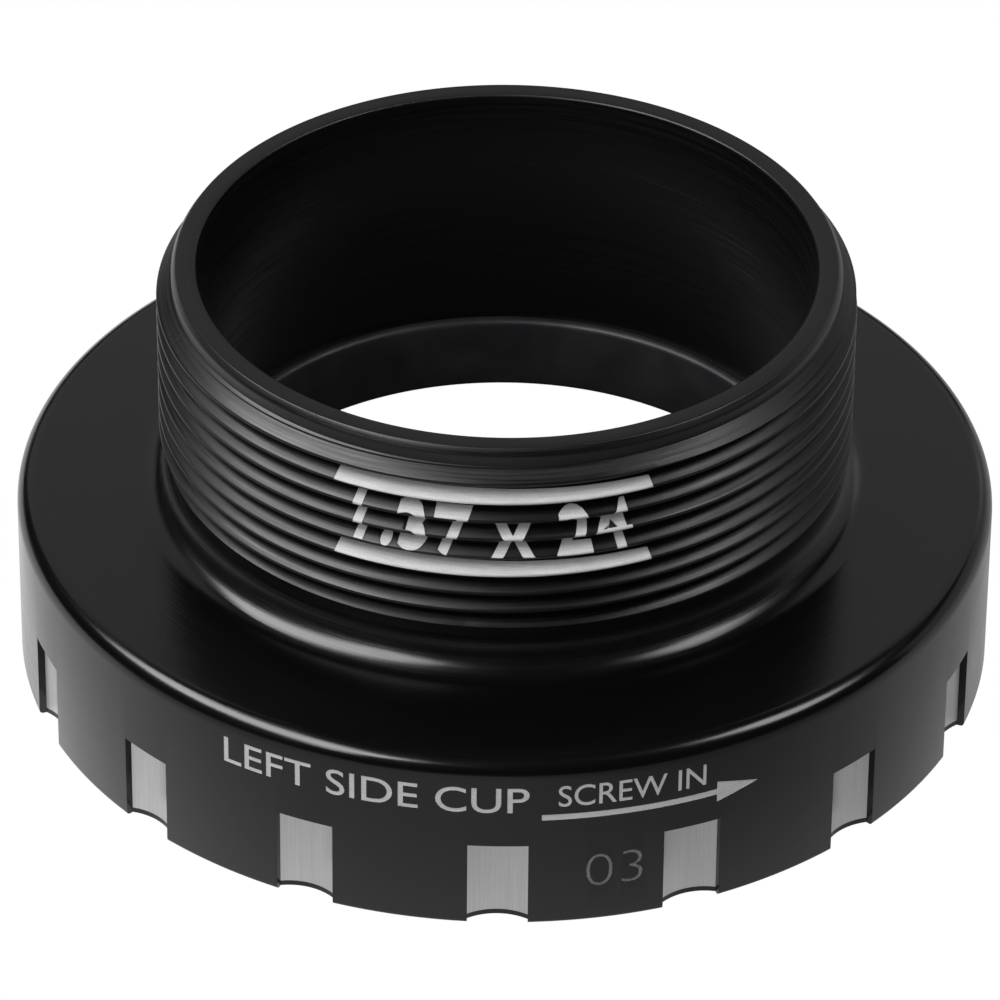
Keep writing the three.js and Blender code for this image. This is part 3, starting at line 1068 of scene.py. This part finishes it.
# %% Cage
cage_low, cage_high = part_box("bearing_cage")
CAGE_WALL = 0.8 * MM
POCKET_ROOM = 0.06 * MM
CAGE_SIDES = 208
cage_inside = PITCH_RADIUS - CAGE_WALL / 2
cage_outside = PITCH_RADIUS + CAGE_WALL / 2
cage = turned_ring(
    "crown_cage",
    [
        (cage_inside, cage_low.z),
        (cage_inside, cage_high.z),
        (cage_outside, cage_high.z),
        (cage_outside, cage_low.z),
    ],
    sides=CAGE_SIDES,
)
for radius in (cage_inside, cage_outside):
    for height in (cage_low.z, cage_high.z):
        bevel_ring(cage, radius, height, 0.08 * MM, 2)
cage.data.materials.append(cage_nylon)

start_alone()
bpy.ops.mesh.primitive_cylinder_add(
    vertices=40,
    radius=BALL_RADIUS + POCKET_ROOM,
    depth=CAGE_WALL + 0.6 * MM,
    location=(PITCH_RADIUS, 0, BEARING_CENTRE),
    rotation=(0, math.pi / 2, 0),
)
drill = bpy.context.object
bpy.ops.object.transform_apply(location=True, rotation=True)
drill.data.materials.append(cage_nylon)
cut_or_join(cage, ring_of_copies(drill, BALL_COUNT), "DIFFERENCE")
smooth(cage)
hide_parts("bearing_cage")
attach(cage, "ball_set")
print("cage:", len(cage.data.polygons), "faces")

# %% [markdown]
# A flat rubber seal closes each side of the bearing. Its outer bead snaps into the outer ring's groove,
# its web has a shallow moulded channel, and its lip stays just clear of the inner ring, so it doesn't
# drag. The same section is walked for both. Each of its corners is a radius and a distance behind the
# face that the seal closes, in millimetres.


# %% Bearing seals
def bearing_seal(name, face, inward):
    section = [
        (16.22, 0.25),
        (16.30, 0.15),
        (16.42, 0.15),
        (16.52, 0.25),
        (16.93, 0.25),
        (17.03, 0.15),
        (17.25, 0.15),
        (17.31, 0.20),
        (17.50, 0.22),
        (17.50, 0.42),
        (17.31, 0.48),
        (17.25, 0.55),
        (16.40, 0.55),
        (16.22, 0.40),
    ]
    seal = turned_ring(
        name, [(radius * MM, face + inward * back * MM) for radius, back in section]
    )
    seal.data.materials.append(seal_rubber)
    smooth(seal, 60)
    return seal


for name, face, inward, node_name in (
    ("inboard_seal", BEARING_HIGH, -1, "inboard_bearing_seal"),
    ("outboard_seal", BEARING_LOW, 1, "outboard_bearing_seal"),
):
    seal = bearing_seal(name, face, inward)
    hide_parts(node_name)
    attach(seal, "cup")
    print(seal.name, len(seal.data.polygons), "faces")

# %% [markdown]
# The dust seal is a thick rubber ring in the counterbore. Its rim grips the cup, and its lip reaches over
# the bearing's outer ring. Two moulded channels let the web flex.

# %% Dust seal
WEB_THICKNESS = 0.9 * MM
RIM_WALL = 0.75 * MM
LIP_SLOPE_WIDTH = 0.3 * MM
LIP_SLOPE_HEIGHT = 0.45 * MM
CHANNEL_DEPTH = 0.12 * MM
CHANNEL_MIDDLES = (19.72 * MM, 19.14 * MM)

rim = dust_high.x
rim_wall = rim - RIM_WALL
lip = 18.4 * MM
lip_foot = lip + LIP_SLOPE_WIDTH
web = dust_high.z - WEB_THICKNESS
channel = (
    (0.18 * MM, 0),
    (0.10 * MM, CHANNEL_DEPTH),
    (-0.10 * MM, CHANNEL_DEPTH),
    (-0.18 * MM, 0),
)
dust_seal = turned_ring(
    "rubber_dust_seal",
    [
        (lip, web + LIP_SLOPE_HEIGHT),
        (lip, dust_high.z),
        (rim, dust_high.z),
        (rim, dust_low.z),
        (rim_wall, dust_low.z),
        (rim_wall, web),
        *[(middle + out, web + up) for middle in CHANNEL_MIDDLES for out, up in channel],
        (lip_foot, web),
    ],
)
for radius, height, width, segments in (
    (rim, dust_high.z, 0.12, 3),
    (rim, dust_low.z, 0.12, 3),
    (rim_wall, dust_low.z, 0.2, 4),
    (rim_wall, web, 0.2, 4),
    (lip, dust_high.z, 0.12, 3),
    (lip_foot, web, 0.15, 3),
):
    bevel_ring(dust_seal, radius, height, width * MM, segments)
dust_seal.data.materials.append(dust_rubber)
smooth(dust_seal, 40)
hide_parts("outer_dust_seal")
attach(dust_seal, "cup")
print("dust seal:", len(dust_seal.data.polygons), "faces")

# %% [markdown]
# ## Floor and light
#
# Glossy black shows nothing but what it reflects, so the studio is drawn for its reflections. The cup
# stands on a pale table that glows, and looks white to the camera. In reflections the table is darker in
# front and on the right, as if black cards lay there, and darkest under the bore. A real table with real
# cards would work too, but would show the cards and the cup's shadow.

# %% Floor
TABLE_SIZE = 6

start_alone()
bpy.ops.mesh.primitive_plane_add(size=TABLE_SIZE)
floor = bpy.context.object
floor.name = "pale_table"

table = bpy.data.materials.new("pale_table")
table.use_nodes = True
tree = table.node_tree
tree.nodes.clear()
place = node(tree, "ShaderNodeSeparateXYZ")
tree.links.new(object_place(tree), place.inputs[0])
across, towards_back = place.outputs["X"], place.outputs["Y"]
from_axis = node(tree, "ShaderNodeVectorMath", operation="LENGTH")
tree.links.new(object_place(tree), from_axis.inputs[0])
front_card = ramp(tree, towards_back, -34 * MM, -8 * MM, 0.52, 0.95, "SMOOTHSTEP")
right_card = ramp(tree, across, -5 * MM, 24 * MM, 1.0, 0.53, "SMOOTHSTEP")
under_cup = ramp(tree, from_axis.outputs["Value"], 15.5 * MM, 24.5 * MM, 0.03, 1.0)
glow_level = front_card
for shade in (right_card, under_cup):
    darker = node(tree, "ShaderNodeMath", operation="MULTIPLY")
    tree.links.new(glow_level, darker.inputs[0])
    tree.links.new(shade, darker.inputs[1])
    glow_level = darker.outputs[0]
print("table at height", floor.location.z)

# %% [markdown]
# The table's light is an emission. Its strength is 1 for what the camera sees and the darker level for
# every other ray. From below the table is clear, so the cup's underside can be looked at.

# %% The table's glow
ray = node(tree, "ShaderNodeLightPath")
strength = node(tree, "ShaderNodeMix", data_type="FLOAT")
tree.links.new(ray.outputs["Is Camera Ray"], strength.inputs["Factor"])
tree.links.new(glow_level, strength.inputs["A"])
strength.inputs["B"].default_value = 1.0
glow = node(tree, "ShaderNodeEmission")
tree.links.new(strength.outputs["Result"], glow.inputs["Strength"])
clear = node(tree, "ShaderNodeBsdfTransparent")
side = node(tree, "ShaderNodeNewGeometry")
seen = node(tree, "ShaderNodeMixShader")
tree.links.new(side.outputs["Backfacing"], seen.inputs[0])
tree.links.new(glow.outputs[0], seen.inputs[1])
tree.links.new(clear.outputs[0], seen.inputs[2])
surface = node(tree, "ShaderNodeOutputMaterial")
tree.links.new(seen.outputs[0], surface.inputs["Surface"])
floor.data.materials.append(table)
print("finish:", table.name)

# %% [markdown]
# A large grey panel behind the cup lights the tops of the flange and the rim, and a low one behind its
# right side fills the rounded edge there. A wide softbox on the left and a narrower one on the right draw
# the bright lines along every rounded edge. The last light adds no reflection: it only brightens dull
# surfaces, such as the laser markings. Radiance is how bright a light looks, and its energy follows from
# that and its size.

# %% Lights
LIGHT_DISTANCE = 0.8
LIGHT_TARGET = Vector((0, 0, 12 * MM))


def softbox(name, turn, height, width, depth, radiance):
    """A soft light, turned from the front towards +X and raised, in degrees, which faces the cup."""
    turn, height = math.radians(turn), math.radians(height)
    direction = Vector(
        (
            math.sin(turn) * math.cos(height),
            -math.cos(turn) * math.cos(height),
            math.sin(height),
        )
    )
    start_alone()
    bpy.ops.object.light_add(
        type="AREA", location=LIGHT_TARGET + direction * LIGHT_DISTANCE
    )
    light = bpy.context.object
    light.name = name
    light.rotation_euler = (-direction).to_track_quat("-Z", "Y").to_euler()
    light.data.shape = "RECTANGLE"
    light.data.size = width
    light.data.size_y = depth
    light.data.energy = radiance * math.pi * width * depth
    light.visible_camera = False
    return light


softbox("back_panel", turn=180, height=35, width=1.1, depth=0.55, radiance=0.35)
softbox("side_panel", turn=126, height=9, width=0.85, depth=0.5, radiance=0.32)
softbox("left_softbox", turn=-75, height=55, width=0.85, depth=0.32, radiance=9.5)
softbox("right_softbox", turn=85, height=52, width=0.26, depth=0.3, radiance=7)
fill = softbox("dull_fill", turn=-10, height=50, width=0.8, depth=0.8, radiance=3)
fill.visible_glossy = False

# %% [markdown]
# Behind everything the camera sees plain white. The cup itself sees an almost black room, so that only
# the table and the lights shape its reflections.

# %% Backdrop
world = bpy.data.worlds.new("studio")
bpy.context.scene.world = world
world.use_nodes = True
tree = world.node_tree
background = tree.nodes["Background"]
ray = node(tree, "ShaderNodeLightPath")
tree.links.new(
    blend_colours(tree, ray.outputs["Is Camera Ray"], grey(0.02), grey(1.0)),
    background.inputs["Color"],
)
bpy.context.scene.view_settings.view_transform = "Standard"
print("backdrop:", world.name)
